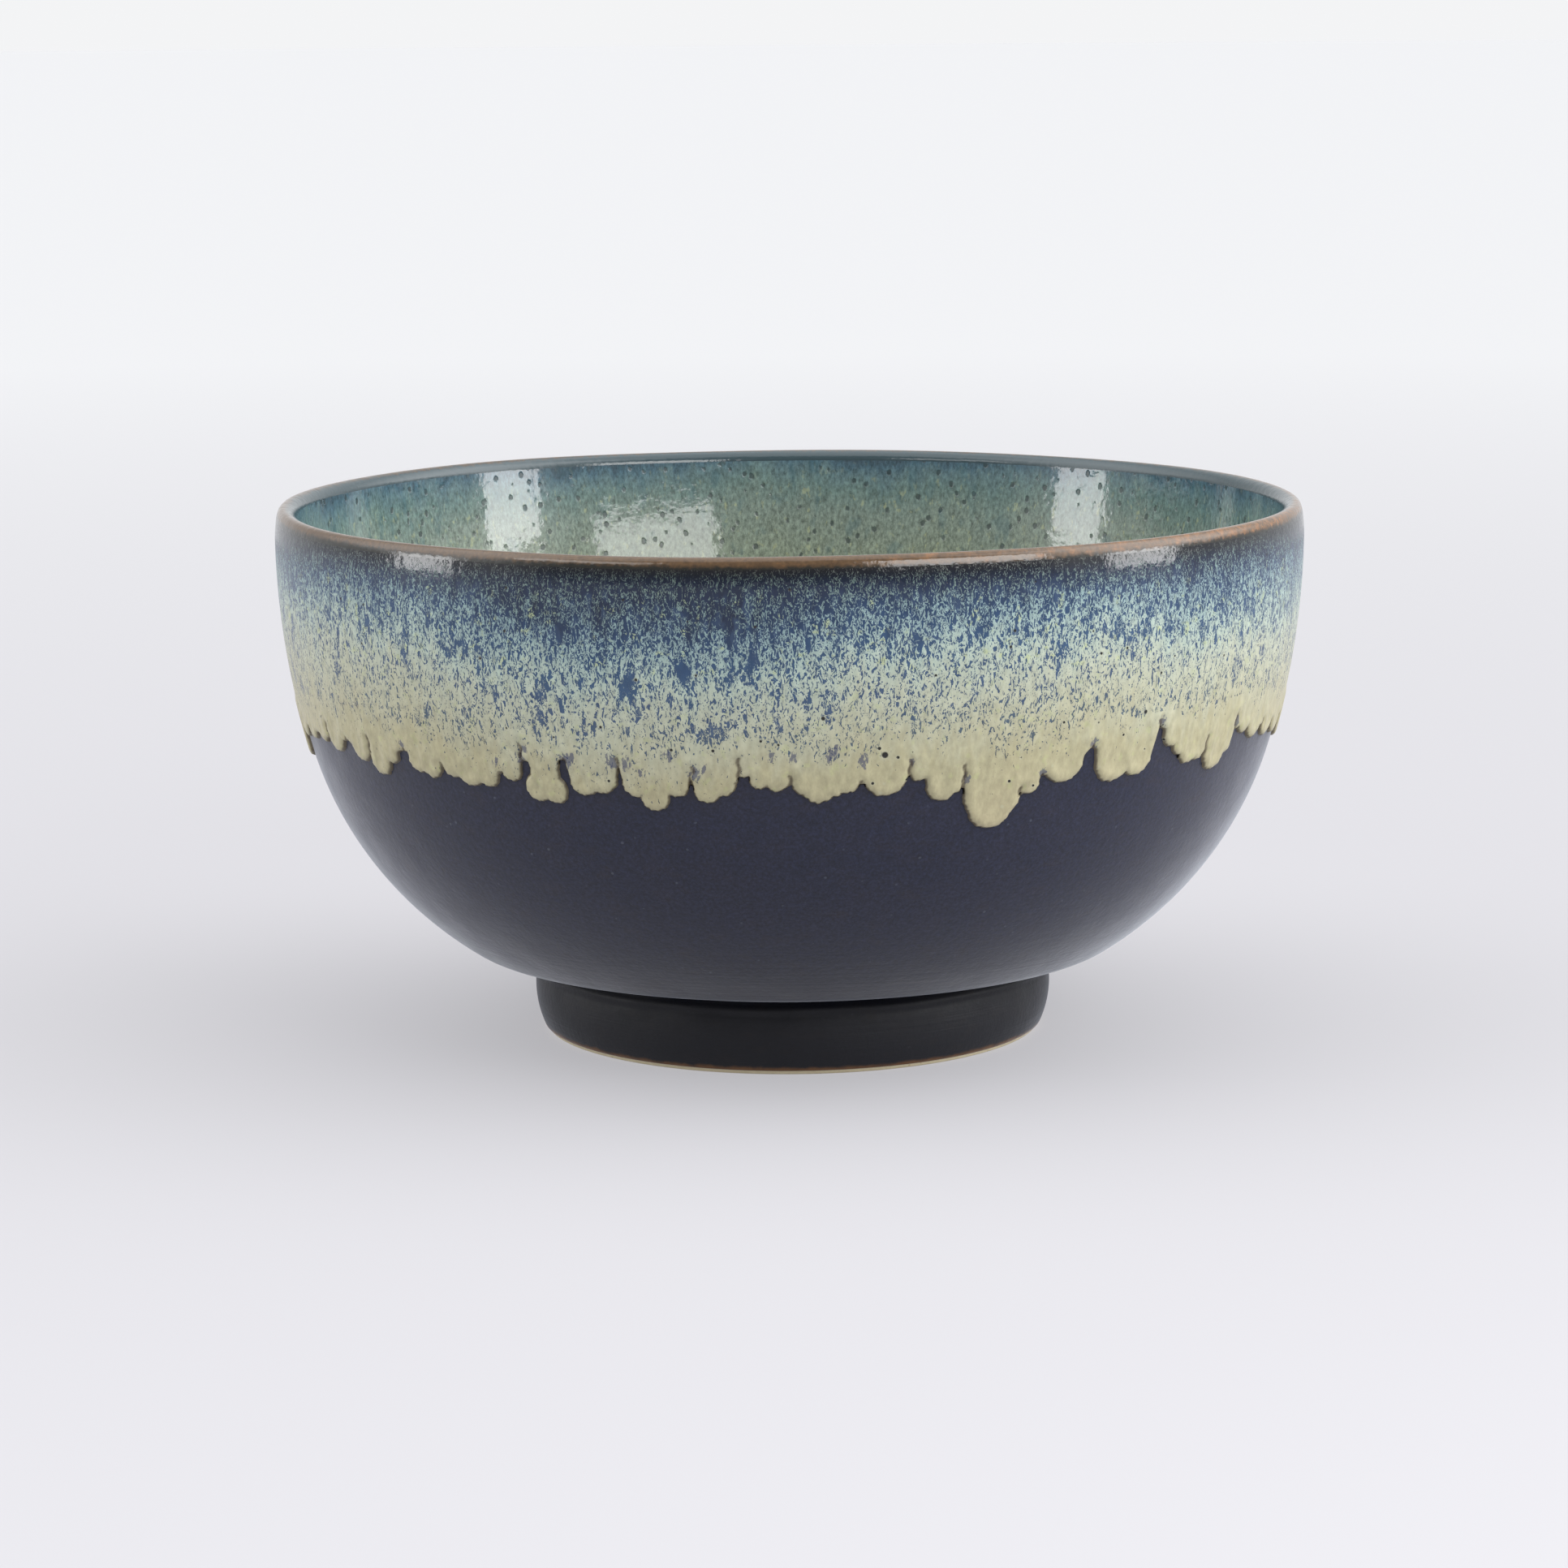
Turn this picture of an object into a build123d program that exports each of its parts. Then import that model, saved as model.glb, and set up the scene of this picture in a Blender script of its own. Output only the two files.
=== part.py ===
"""Footed stoneware tea bowl: clay body, turned foot and five glaze coats.

Millimetres, +Z up, origin on the table under the centre of the foot.
"""
import os
from math import cos, radians, sin, tan

from build123d import *

# ---- driving dimensions -------------------------------------------------------------------
bowl_height = 65.5
rim_diameter = 126.0

lip_round = 1.3            # radius of the rounded lip, over the glaze
clay_lip_round = 0.725     # radius of the clay lip under the iron band
wall_top = bowl_height - lip_round
belly_height = 62.0        # the wall is upright above this height

base_coat = 0.35           # satin dark coat, outside
drip_coat = 0.4            # reactive coat over the dark one
liner_coat = 0.4           # glossy coat inside
well_coat = 0.3            # coat inside the foot ring

upper_wall_radius = 93.5   # outside section of the dark coat, as tangent arcs from the lip down
upper_wall_turn = 16.0
lower_wall_radius = 44.1
lower_wall_turn = 40.8
shoulder_radius = 6.0
shoulder_turn = 20.7

inner_rim_radius = rim_diameter / 2 - 2 * lip_round
inner_rim_lean = 5.0       # the inside is bevelled to a thinner lip by this angle
inner_upper_radius = 110.0  # inside section of the liner, as tangent arcs from the lip down
inner_upper_turn = 14.4
inner_lower_radius = 38.0
inner_lower_turn = 58.6

foot_top_radius = 31.5
foot_belly_radius = 32.0
foot_belly_height = 4.7
foot_glaze_end = Vector(31.0, 0.6)  # radius and height where the dark coat stops
foot_contact_outer = 30.3
foot_contact_inner = 27.6
foot_joint_height = 6.0    # the clay ring is luted on here
well_foot_radius = 27.2
well_top_radius = 26.5
well_chamfer = 0.5
well_glaze_end = 0.9

drip_line = 40.6           # height that every part of the drip edge reaches
drip_tip_depth = 2.0       # how far a common lobe hangs below that line

# Lobes of the drip edge on the front, each as angle from the front, height of its tip and width.
front_lobes = [
    (-73, 38.9, 6.0), (-66, 38.9, 4.4), (-61, 39.0, 3.8), (-56, 38.4, 4.6), (-51.5, 37.5, 5.0),
    (-43.5, 38.3, 5.6), (-36, 38.0, 6.6), (-30.8, 39.1, 3.2), (-26.5, 36.9, 5.6),
    (-21.5, 38.1, 5.2), (-15, 36.9, 6.6), (-9.2, 37.8, 4.6), (-3, 39.2, 5.6), (4, 37.9, 6.4),
    (10.4, 38.4, 5.4), (16.8, 37.4, 5.6), (22.3, 33.7, 7.0), (26.4, 37.6, 3.8),
    (31, 38.5, 5.4), (38.8, 37.7, 7.4), (50, 38.5, 4.6), (55, 36.8, 4.4), (64, 39.4, 5.4),
    (72, 38.4, 6.0),
]
back_lobe_count = 36
back_lobe_start = 79.0
back_lobe_end = 280.0


def chained_arcs(start, tangent, turns):
    """Adds tangent arcs one after the other to the open line builder; returns the last one."""
    for radius, turn in turns:
        arc = JernArc(start=start, tangent=tangent, radius=radius, arc_size=-turn)
        start = arc @ 1
        tangent = arc % 1
    return arc


def outside_turns(offset):
    """Arcs of the outside wall, offset outwards from the dark coat's surface."""
    return [
        (upper_wall_radius + offset, upper_wall_turn),
        (lower_wall_radius + offset, lower_wall_turn),
        (shoulder_radius + offset, shoulder_turn),
    ]


def inside_turns(offset):
    """Arcs of the inside wall down to the start of the floor, offset outwards from the liner."""
    return [
        (inner_upper_radius + offset, inner_upper_turn),
        (inner_lower_radius + offset, inner_lower_turn),
    ]


def outside_line(offset):
    """Outside wall from the lip to the crease above the foot; returns both ends."""
    top_radius = rim_diameter / 2 - drip_coat + offset
    upright = Line((top_radius, wall_top), (top_radius, belly_height))
    last = chained_arcs(upright @ 1, upright % 1, outside_turns(offset))
    slope = radians(upper_wall_turn + lower_wall_turn + shoulder_turn)
    crease_radius = foot_top_radius + offset
    run = (last @ 1).X - crease_radius
    crease = (crease_radius, (last @ 1).Y - run / tan(slope))
    Line(last @ 1, crease)
    return upright @ 0, crease


def inside_line(offset):
    """Inside wall from the lip to the middle of the floor; returns both ends."""
    top = Vector(inner_rim_radius + offset, wall_top)
    lean = radians(inner_rim_lean)
    last = chained_arcs(top, (-sin(lean), -cos(lean)), inside_turns(offset))
    turned = inner_rim_lean + inner_upper_turn + inner_lower_turn
    floor_radius = (last @ 1).X / cos(radians(turned))
    floor = JernArc(start=last @ 1, tangent=last % 1, radius=floor_radius, arc_size=turned - 90)
    return top, floor @ 1


def foot_line(crease, offset):
    """Outside of the foot, from the crease to where the dark coat stops; returns its lower end."""
    lower = foot_glaze_end + Vector(offset, 0)
    ThreePointArc(crease, (foot_belly_radius + offset, foot_belly_height), lower)
    return lower


def clay_outline():
    """Half section of all the clay: lip, wall, floor and foot."""
    outer_top, crease = outside_line(-base_coat)
    foot_end = foot_line(crease, -base_coat)
    inner_top, floor_middle = inside_line(liner_coat)
    lip_middle = ((outer_top.X + inner_top.X) / 2, wall_top + clay_lip_round)
    ThreePointArc(inner_top, lip_middle, outer_top)
    Polyline(
        foot_end,
        (foot_contact_outer, 0),
        (foot_contact_inner, 0),
        (well_foot_radius, well_chamfer),
        (well_top_radius, foot_joint_height),
        (0, foot_joint_height),
        floor_middle,
    )


def facing(angle, height):
    """Plane that looks outwards from the bowl's axis; zero degrees is the front."""
    turn = radians(angle)
    outward = (sin(turn), -cos(turn), 0)
    return Plane(origin=(0, 0, height), x_dir=(cos(turn), sin(turn), 0), z_dir=outward)


def back_lobes():
    """Lobes of the drip edge behind, uneven in step, depth and width."""
    lobes = []
    step = (back_lobe_end - back_lobe_start) / back_lobe_count
    for index in range(back_lobe_count):
        angle = back_lobe_start + step * (index + 0.5 + 0.22 * sin(2.4 * index))
        tip = drip_line - drip_tip_depth - 0.9 * sin(1.7 * index) - 0.7 * sin(4.1 * index + 1.0)
        width = 5.4 + 0.9 * sin(3.3 * index + 0.6)
        lobes.append((angle, tip, width))
    return lobes


# ---- clay ---------------------------------------------------------------------------------
with BuildPart() as bowl_body:
    with BuildSketch(Plane.XZ):
        with BuildLine():
            clay_outline()
        make_face()
    revolve(axis=Axis.Z)
    split(bisect_by=Plane.XY.offset(foot_joint_height), keep=Keep.TOP)
bowl_body.part.label = "bowl_body"

with BuildPart() as foot_ring:
    with BuildSketch(Plane.XZ):
        with BuildLine():
            clay_outline()
        make_face()
    revolve(axis=Axis.Z)
    split(bisect_by=Plane.XY.offset(foot_joint_height), keep=Keep.BOTTOM)
foot_ring.part.label = "foot_ring"

# ---- coats --------------------------------------------------------------------------------
with BuildPart() as outer_dark_glaze:
    with BuildSketch(Plane.XZ):
        with BuildLine():
            skin_top, skin_crease = outside_line(0)
            skin_end = foot_line(skin_crease, 0)
            clay_top, clay_crease = outside_line(-base_coat)
            clay_end = foot_line(clay_crease, -base_coat)
            Line(skin_top, clay_top)
            Line(skin_end, clay_end)
        make_face()
    revolve(axis=Axis.Z)
outer_dark_glaze.part.label = "outer_dark_glaze"

with BuildPart() as drip_reach:
    with BuildSketch(Plane.XY.offset(drip_line)):
        Circle(rim_diameter)
    extrude(amount=bowl_height)
    for angle, tip, width in front_lobes + back_lobes():
        with BuildSketch(facing(angle, tip + width / 2)):
            Circle(width / 2)
            with Locations((0, width / 2)):
                Rectangle(width * 0.94, width)
        extrude(amount=rim_diameter)

with BuildPart() as outer_drip_glaze:
    with BuildSketch(Plane.XZ):
        with BuildLine():
            skin_top, skin_crease = outside_line(drip_coat)
            under_top, under_crease = outside_line(0)
            Line(skin_top, under_top)
            Line(skin_crease, under_crease)
        make_face()
    revolve(axis=Axis.Z)
    add(drip_reach.part, mode=Mode.INTERSECT)
outer_drip_glaze.part.label = "outer_drip_glaze"

with BuildPart() as inner_glaze:
    with BuildSketch(Plane.XZ):
        with BuildLine():
            skin_top, skin_middle = inside_line(0)
            clay_top, clay_middle = inside_line(liner_coat)
            Line(skin_top, clay_top)
            Line(skin_middle, clay_middle)
        make_face()
    revolve(axis=Axis.Z)
inner_glaze.part.label = "inner_glaze"

with BuildPart() as rim_iron_band:
    lip_outer = rim_diameter / 2
    lip_inner = inner_rim_radius
    clay_outer = lip_outer - drip_coat - base_coat
    clay_inner = lip_inner + liner_coat
    with BuildSketch(Plane.XZ):
        with BuildLine():
            ThreePointArc((lip_inner, wall_top), ((lip_inner + lip_outer) / 2, bowl_height),
                          (lip_outer, wall_top))
            Line((lip_outer, wall_top), (clay_outer, wall_top))
            ThreePointArc((clay_inner, wall_top),
                          ((clay_inner + clay_outer) / 2, wall_top + clay_lip_round),
                          (clay_outer, wall_top))
            Line((clay_inner, wall_top), (lip_inner, wall_top))
        make_face()
    revolve(axis=Axis.Z)
rim_iron_band.part.label = "rim_iron_band"

with BuildPart() as foot_well_glaze:
    wall_lean = (well_foot_radius - well_top_radius) / (foot_joint_height - well_chamfer)
    wall_end = well_top_radius + wall_lean * (foot_joint_height - well_glaze_end)
    with BuildSketch(Plane.XZ):
        with BuildLine():
            Polyline(
                (0, foot_joint_height),
                (well_top_radius, foot_joint_height),
                (wall_end, well_glaze_end),
                (wall_end - well_coat, well_glaze_end),
                (well_top_radius - well_coat, foot_joint_height - well_coat),
                (0, foot_joint_height - well_coat),
                close=True,
            )
        make_face()
    revolve(axis=Axis.Z)
foot_well_glaze.part.label = "foot_well_glaze"

# ---- one STEP for each piece --------------------------------------------------------------
os.makedirs("parts", exist_ok=True)
for piece in (
    bowl_body,
    foot_ring,
    outer_dark_glaze,
    outer_drip_glaze,
    inner_glaze,
    rim_iron_band,
    foot_well_glaze,
):
    export_step(piece.part, f"parts/{piece.part.label}.step")
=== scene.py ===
"""Looks of the footed tea bowl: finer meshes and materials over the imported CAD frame.

Sizes are worked out in millimetres and turned into metres when a mesh is made.
"""
from math import cos, pi, radians, sin, tan

import bpy
import numpy as np
from mathutils import Matrix, Vector


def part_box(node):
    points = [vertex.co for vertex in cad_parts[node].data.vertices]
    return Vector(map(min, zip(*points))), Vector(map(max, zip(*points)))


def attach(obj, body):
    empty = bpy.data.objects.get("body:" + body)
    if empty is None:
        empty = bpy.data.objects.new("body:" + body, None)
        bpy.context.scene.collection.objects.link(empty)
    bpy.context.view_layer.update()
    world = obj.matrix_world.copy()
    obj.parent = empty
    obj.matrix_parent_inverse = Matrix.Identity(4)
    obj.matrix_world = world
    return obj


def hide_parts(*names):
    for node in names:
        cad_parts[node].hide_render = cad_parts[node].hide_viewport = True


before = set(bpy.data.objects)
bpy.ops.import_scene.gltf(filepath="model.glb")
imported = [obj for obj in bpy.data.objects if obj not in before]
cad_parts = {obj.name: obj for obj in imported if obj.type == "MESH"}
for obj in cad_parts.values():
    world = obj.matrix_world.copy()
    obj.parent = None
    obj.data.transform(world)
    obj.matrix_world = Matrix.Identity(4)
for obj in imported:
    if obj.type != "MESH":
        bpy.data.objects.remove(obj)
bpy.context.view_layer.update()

MM = 1000.0  # millimetres in a metre
rng = np.random.default_rng(7)

# ---- sizes taken from the frame (mm) ------------------------------------------------------
rim_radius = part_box("outer_drip_glaze")[1].x * MM
rim_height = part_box("rim_iron_band")[1].z * MM
wall_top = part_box("rim_iron_band")[0].z * MM
dark_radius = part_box("outer_dark_glaze")[1].x * MM
dark_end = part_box("outer_dark_glaze")[0].z * MM
liner_clay_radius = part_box("inner_glaze")[1].x * MM
well_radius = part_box("foot_well_glaze")[1].x * MM
well_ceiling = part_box("foot_well_glaze")[1].z * MM
well_coat_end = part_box("foot_well_glaze")[0].z * MM

drip_coat = rim_radius - dark_radius
base_coat = 0.35
liner_coat = 0.4
well_coat = 0.3
liner_radius = liner_clay_radius - liner_coat

# ---- section of the bowl (mm, degrees) ----------------------------------------------------
belly_height = 62.0  # the wall is upright above this
outside_arcs = [(93.5, 16.0), (44.1, 40.8), (6.0, 20.7)]
inside_lean = 5.0
inside_arcs = [(110.0, 14.4), (38.0, 58.6)]
foot_top_radius = 31.5
foot_belly = (32.0, 4.7)
foot_glaze_end_radius = 31.0
foot_contact = (30.3, 27.6)
lip_bevel_start = 61.6  # the outside leans in above this,
lip_bevel = 0.031  # by this times the rise squared
crest_radius = 61.8

# ---- drip edge ----------------------------------------------------------------------------
# Height the coat reaches in the gaps between lobes, as angle from the front and height.
gap_heights = [
    (-80, 40.4), (-64.5, 40.2), (-59.5, 40.7), (-54, 40.2), (-47.3, 41.0), (-41.3, 39.8),
    (-33, 39.8), (-29.9, 41.6), (-24.7, 42.0), (-18.5, 42.2), (-10.4, 41.4), (-5.5, 40.9),
    (-0.1, 40.0), (7.3, 39.5), (12.6, 40.3), (18.7, 39.4), (25.5, 37.6), (27.9, 39.4),
    (34.2, 42.0), (43.7, 43.6), (53, 39.5), (59, 41.3), (68, 40.3), (80, 40.2),
]
# Lobes on the front: angle, height of the tip, width.
front_lobes = [
    (-76, 38.8, 5.0), (-71, 39.2, 4.0), (-66.5, 39.6, 3.0), (-62.3, 39.0, 4.4),
    (-56.0, 38.8, 4.4), (-52.3, 37.6, 4.0), (-49.9, 39.3, 3.0), (-45.0, 38.8, 3.4),
    (-43.0, 38.4, 3.4), (-39.6, 38.8, 3.6), (-37.2, 38.05, 4.8), (-34.8, 38.15, 3.2),
    (-31.5, 39.2, 2.8), (-22.6, 38.1, 3.6), (-20.6, 38.5, 3.9), (-16.5, 38.2, 3.7),
    (-14.7, 36.7, 3.4), (-12.3, 38.4, 3.2), (-8.9, 37.75, 3.3), (-7.3, 38.6, 3.0),
    (-6.4, 39.9, 1.8), (-4.9, 40.7, 1.5), (-3.4, 39.4, 2.2), (-1.5, 39.1, 2.8),
    (1.6, 38.6, 3.4), (2.9, 37.7, 3.6), (4.4, 38.4, 3.0), (5.9, 38.8, 3.2), (10.0, 38.3, 5.2),
    (13.6, 39.9, 2.2), (16.3, 37.4, 3.8), (17.9, 38.2, 1.4), (22.2, 33.75, 5.8),
    (22.3, 34.6, 7.4), (26.5, 37.5, 2.8), (30.6, 38.45, 5.6), (37.5, 37.9, 5.6),
    (40.9, 38.2, 4.8), (46.2, 41.0, 3.2), (48.0, 39.7, 3.0), (49.8, 38.5, 4.2),
    (51.5, 38.7, 2.8), (55.3, 37.0, 4.6), (57.6, 38.6, 2.4), (61.5, 40.4, 3.0),
    (65, 39.4, 5.0), (70, 38.9, 5.0), (75, 38.4, 5.0),
]
# One wide lobe with a double tip, as discs: angle, height, radius.
double_lobe = [(-28.3, 38.8, 1.75), (-26.3, 38.6, 1.65), (-27.3, 40.4, 1.95), (-27.3, 42.0, 2.1)]
lobe_spread = 0.20  # half width gained per mm above the middle
spread_rise = 3.0  # up to this much above it
crack_width = 0.06  # depth of coat left where two lobes meet
# Blue smears over the gaps and in the cream: angle, height, radius.
smears = [
    (-47.3, 41.9, 0.6), (-33.2, 41.4, 0.5), (-30.0, 42.2, 0.7), (-29.2, 43.2, 0.5),
    (-24.4, 42.3, 0.8), (-23.6, 42.8, 0.6), (-19.2, 42.4, 0.8), (-17.6, 42.3, 0.7),
    (-16.2, 41.2, 0.4), (-12.8, 43.3, 0.7), (-10.2, 41.4, 0.8), (-9.2, 41.9, 0.5),
    (-2.0, 43.2, 0.45), (0.2, 43.2, 0.6), (4.1, 43.3, 0.7), (4.7, 43.9, 0.5), (7.5, 42.5, 0.8),
    (12.8, 42.2, 0.4), (18.9, 39.9, 0.5), (27.9, 40.0, 0.5), (34.2, 42.8, 0.6),
    (43.8, 44.2, 0.7), (59.0, 42.2, 0.6),
]
# Behind, the gaps and lobes are regular but uneven.
back_gap_height = 40.4
back_lobe_count = 36
back_lobe_span = (80.0, 280.0)
back_tip_height = 38.6
back_lobe_widths = (3.6, 6.2)
long_lobe_share = 0.1
long_lobe_extra = 2.2
edge_ring_radius = 59.8  # radius of the wall at the lobes
edge_roll = 0.6  # how far in the rounded edge reaches
bead_height = 0.14  # the coat is this much thicker
bead_middle = 0.8  # at this depth in from the edge
edge_sink = 0.03  # how far the edge goes into the dark coat
coat_sink = 0.02  # how far the underside does

# The coat's mesh is fine between these heights and coarser from there up to the lip.
edge_zone = (33.2, 45.4)
edge_row = 0.26
edge_rows = int(round((edge_zone[1] - edge_zone[0]) / edge_row))
wall_columns = 360
edge_columns = 4 * wall_columns
edge_angles = np.linspace(0, 2 * pi, edge_columns, endpoint=False)
snap_distance = 0.07  # points closer to the edge move onto it
seam_gap = 0.6
wall_row = 0.9
lip_row = 0.3
lip_zone = 2.4
far_inside = 9.0  # depth of every point above the fine zone


# ---- profiles -----------------------------------------------------------------------------
def chain(start, lean, arcs, offset=0.0, step=0.5):
    """Points (radius, height) along tangent arcs that go down from start and turn inwards."""
    radius, height = start
    angle = radians(lean)
    points = [(radius, height)]
    for size, turn in arcs:
        end = angle + radians(turn)
        count = max(3, int(np.ceil((size + offset) * (end - angle) / step)))
        for a in np.linspace(angle, end, count + 1)[1:]:
            points.append((
                radius - (size + offset) * (cos(angle) - cos(a)),
                height - (size + offset) * (sin(a) - sin(angle)),
            ))
        radius, height = points[-1]
        angle = end
    return points


def outside(offset=0.0, step=0.5):
    """Outside wall of the dark coat, from the lip to the crease above the foot."""
    top = dark_radius + offset
    upright = [(top, z) for z in np.arange(wall_top, belly_height, -0.5)]
    points = upright + chain((top, belly_height), 0.0, outside_arcs, offset, step)
    slope = radians(sum(turn for _, turn in outside_arcs))
    radius, height = points[-1]
    crease = (foot_top_radius + offset, height - (radius - foot_top_radius - offset) / tan(slope))
    return points + straight(points[-1], crease, 0.3)[1:]


def straight(start, end, step):
    """Points along a straight line, ends included."""
    count = max(1, int(np.ceil(np.hypot(end[0] - start[0], end[1] - start[1]) / step)))
    return [
        (start[0] + (end[0] - start[0]) * k / count, start[1] + (end[1] - start[1]) * k / count)
        for k in range(count + 1)
    ]


def bezier(a, b, c, d, count):
    """Points along a cubic curve, ends included."""
    t = np.linspace(0, 1, count + 1)[:, None]
    curve = ((1 - t) ** 3 * np.array(a) + 3 * (1 - t) ** 2 * t * np.array(b)
             + 3 * (1 - t) * t ** 2 * np.array(c) + t ** 3 * np.array(d))
    return [tuple(p) for p in curve]


def foot_side(crease, offset=0.0):
    """Bellied side of the foot, from the crease down to where the dark coat stops."""
    top = crease
    belly = (foot_belly[0] + offset, foot_belly[1])
    low = (foot_glaze_end_radius + offset, dark_end)
    control = tuple(2 * belly[k] - 0.5 * (top[k] + low[k]) for k in (0, 1))
    t = np.linspace(0, 1, 34)[:, None]
    curve = ((1 - t) ** 2 * np.array(top) + 2 * (1 - t) * t * np.array(control)
             + t ** 2 * np.array(low))
    return [tuple(p) for p in curve]


def inside(offset=0.0, step=0.5):
    """Inside wall of the liner from the lip to the middle of the floor."""
    points = chain((liner_radius + offset, wall_top), inside_lean, inside_arcs, offset, step)
    turned = inside_lean + sum(turn for _, turn in inside_arcs)
    radius = points[-1][0] / cos(radians(turned))
    floor = chain(points[-1], turned, [(radius, 90.0 - turned)], 0.0, 1.2)
    return points + floor[1:-1] + [(0.0, floor[-1][1])]


# ---- mesh making --------------------------------------------------------------------------
def smooth_step(low, high, value):
    """Smooth rise from 0 to 1 as value goes from low to high."""
    t = np.clip((value - low) / (high - low), 0, 1)
    return t * t * (3 - 2 * t)


def hand(angle, radius, height):
    """Slight hand-thrown irregularity, nothing at the foot and most at the lip."""
    grow = smooth_step(8.0, rim_height, height)
    oval = 0.0016 * np.cos(2 * angle + 0.7) + 0.0007 * np.cos(3 * angle + 2)
    radius = radius * (1 + grow * oval)
    height = height + grow * (0.10 * np.sin(2 * angle + 0.4) + 0.08 * np.sin(3 * angle + 1.1)
                              + 0.04 * np.sin(7 * angle))
    return radius, height


def place(angle, radius, height):
    """Points in metres; angle zero is the front and goes anticlockwise from above."""
    radius, height = hand(angle, radius, height)
    return np.stack([radius * np.sin(angle), -radius * np.cos(angle), height], -1) / MM


def make_piece(name, points, faces, node, material, sharp=50.0, values=None):
    """Mesh from points and faces (lists of index arrays), attached to the frame."""
    mesh = bpy.data.meshes.new(name)
    mesh.from_pydata(points.tolist(), [], faces)
    mesh.validate()
    mesh.polygons.foreach_set("use_smooth", np.ones(len(mesh.polygons), bool))
    mesh.set_sharp_from_angle(angle=radians(sharp))
    for key, data in (values or {}).items():
        attribute = mesh.attributes.new(key, "FLOAT", "POINT")
        attribute.data.foreach_set("value", np.asarray(data, np.float32))
    mesh.materials.append(material)
    piece = bpy.data.objects.new(name, mesh)
    bpy.context.scene.collection.objects.link(piece)
    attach(piece, "root")
    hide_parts(node)
    return piece


def lathe(outline, columns, relief=None):
    """Points and faces of an outline (radius, height) turned about the axis.

    An outline that starts or ends on the axis gets one point there; any other is closed.
    relief(angle, radius, height) may return the radius and height changed.
    """
    outline = np.array(outline, float)
    angle = np.linspace(0, 2 * pi, columns, endpoint=False)
    points = []
    rings = []
    for radius, height in outline:
        if radius < 1e-6:
            rings.append([len(points)])
            points.append((0.0, 0.0, height / MM))
            continue
        r = np.full(columns, radius)
        z = np.full(columns, height)
        if relief:
            r, z = relief(angle, r, z)
        rings.append(list(range(len(points), len(points) + columns)))
        points.extend(place(angle, r, z).tolist())
    pairs = [(a, b) for a, b in zip(rings, rings[1:]) if len(a) + len(b) > 2]
    if len(rings[0]) > 1 and len(rings[-1]) > 1:
        pairs.append((rings[-1], rings[0]))
    faces = []
    for a, b in pairs:
        for k in range(columns):
            n = (k + 1) % columns
            if len(a) == 1:
                faces.append((a[0], b[n], b[k]))
            elif len(b) == 1:
                faces.append((a[k], a[n], b[0]))
            else:
                faces.append((a[k], a[n], b[n], b[k]))
    return np.array(points), faces


# ---- drip coat ----------------------------------------------------------------------------
def back_lobes():
    """Lobes behind, uneven in step, depth and width."""
    start, end = back_lobe_span
    step = (end - start) / back_lobe_count
    lobes = []
    for k in range(back_lobe_count):
        angle = start + step * (k + 0.5 + rng.uniform(-0.22, 0.22))
        tip = back_tip_height + rng.uniform(-1.1, 0.9)
        if rng.random() < long_lobe_share:
            tip -= long_lobe_extra
        lobes.append((angle, tip, rng.uniform(*back_lobe_widths)))
    return lobes


def scallops(angle, middle, big):
    """Small discs around the lower side of a lobe, for its crinkled outline."""
    discs = []
    around = -82.0 + rng.uniform(0, 12)
    while around < 84.0:
        small = rng.uniform(0.32, 0.62) * min(1.0, big / 1.2)
        reach = big - small * rng.uniform(0.62, 0.86)
        discs.append((
            angle + np.degrees(reach * sin(radians(around)) / edge_ring_radius),
            middle - reach * cos(radians(around)),
            small,
        ))
        around += np.degrees(small / big) * rng.uniform(1.1, 1.9)
    return discs


def half_turn(degrees):
    """The same angle between -180 and 180 degrees."""
    return (degrees + 180.0) % 360.0 - 180.0


def along_edge(degrees, start):
    """Distance (mm) along the drip edge from an angle, the shorter way round."""
    return half_turn(degrees - start) * radians(1) * edge_ring_radius


def edge_distance(angle, height):
    """Distance (mm) into the drip coat from its edge; below zero where there is no coat."""
    degrees = half_turn(np.degrees(angle))
    line = np.interp(degrees, [a for a, _ in gap_heights], [z for _, z in gap_heights])
    behind = back_gap_height + 0.35 * np.sin(9 * angle) + 0.25 * np.sin(23 * angle + 1.0)
    line = np.where(np.abs(degrees) > back_lobe_span[0], behind, line)
    line = line + 0.10 * np.sin(151 * angle) + 0.08 * np.sin(233 * angle + 2)
    inside_by = height - line
    discs = list(double_lobe)
    for a, z, size in double_lobe[:2]:
        discs += scallops(a, z, size)
    for a, tip, width in front_lobes + back_lobes():
        middle = tip + width / 2
        below = np.minimum(height - middle, 0.0)
        spread = lobe_spread * np.clip(height - middle, 0.0, spread_rise)
        away = np.hypot(along_edge(degrees, a), below)
        inside_by = np.maximum(inside_by, width / 2 + spread - away)
        discs += scallops(a, middle, width / 2)
    for a, z, size in discs:
        away = np.hypot(along_edge(degrees, a), height - z)
        inside_by = np.maximum(inside_by, size - away)
    for a, z in gap_heights:
        reach = 1.2 + 0.9 * sin(3.1 * a)
        across = along_edge(degrees, a) + 0.12 * np.sin(4 * height + a)
        along = height - np.clip(height, z, z + reach)
        crack = crack_width + 0.75 * np.hypot(across, along)
        inside_by = np.where(inside_by > 0, np.minimum(inside_by, crack), inside_by)
    return inside_by


def smear_amount(angle, height):
    """How far into a blue smear each point lies, from 0 outside to 1 at the middle."""
    amount = np.zeros(np.shape(angle))
    for a, z, size in smears:
        away = np.hypot(along_edge(np.degrees(angle), a), (height - z) * 0.7)
        amount = np.maximum(amount, 1 - away / size)
    return amount


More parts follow.
